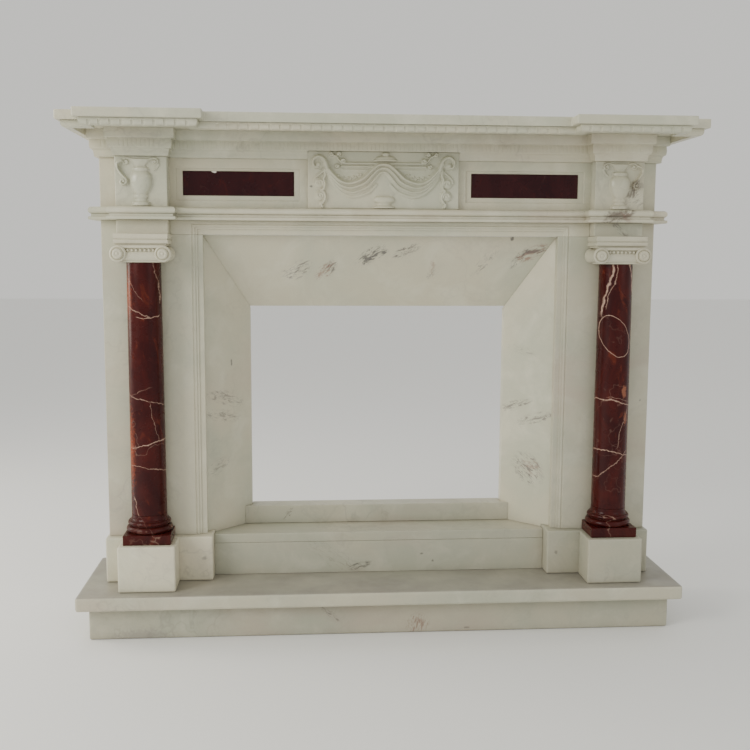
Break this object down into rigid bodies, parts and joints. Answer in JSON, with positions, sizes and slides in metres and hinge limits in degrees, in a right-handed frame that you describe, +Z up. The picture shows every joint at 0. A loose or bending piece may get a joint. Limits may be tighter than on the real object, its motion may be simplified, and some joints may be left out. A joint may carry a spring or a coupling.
{
  "type": "fireplace mantel",
  "caption": "Carved white marble fireplace surround with engaged dark red columns, volute capitals, inlaid frieze, splayed reveal, dentilled shelf and raised hearth.",
  "frame": {"origin": "on the ground, under the middle of the footprint's bounding box", "axes": "+Z up; the front faces -Y; +Y points to the wall, and the back faces of the hearth, plinths, sides and shelf lie in one vertical plane at the largest Y; +X to the right as seen from the front"},
  "size_m": [1.554, 0.447, 1.3],
  "materials": {
    "white_marble": "aged honed white marble with grey veins and a little grime",
    "red_marble": "polished dark red marble with pale veins",
    "dark_red_inlay": "polished very dark red marble"
  },
  "bodies": {
    "root": {"hearth_base": "white_marble", "hearth_slab": "white_marble", "step_riser": "white_marble", "step_tread": "white_marble", "back_curb": "white_marble", "leg_plinth_left": "white_marble", "leg_plinth_right": "white_marble", "column_block_left": "white_marble", "column_block_right": "white_marble", "column_base_left": "red_marble", "column_base_right": "red_marble", "column_shaft_left": "red_marble", "column_shaft_right": "red_marble", "capital_left": "white_marble", "capital_right": "white_marble", "impost_left": "white_marble", "impost_right": "white_marble", "leg_board_left": "white_marble", "leg_board_right": "white_marble", "leg_side_left": "white_marble", "leg_side_right": "white_marble", "lintel_board": "white_marble", "cheek_left": "white_marble", "cheek_right": "white_marble", "splay_head": "white_marble", "string_course": "white_marble", "frieze_board": "white_marble", "frieze_side_left": "white_marble", "frieze_side_right": "white_marble", "inlay_left": "dark_red_inlay", "inlay_right": "dark_red_inlay", "corner_block_left": "white_marble", "corner_block_right": "white_marble", "centre_tablet": "white_marble", "bed_mould": "white_marble", "dentil_strip": "white_marble", "shelf_slab": "white_marble"}
  },
  "joints": []
}
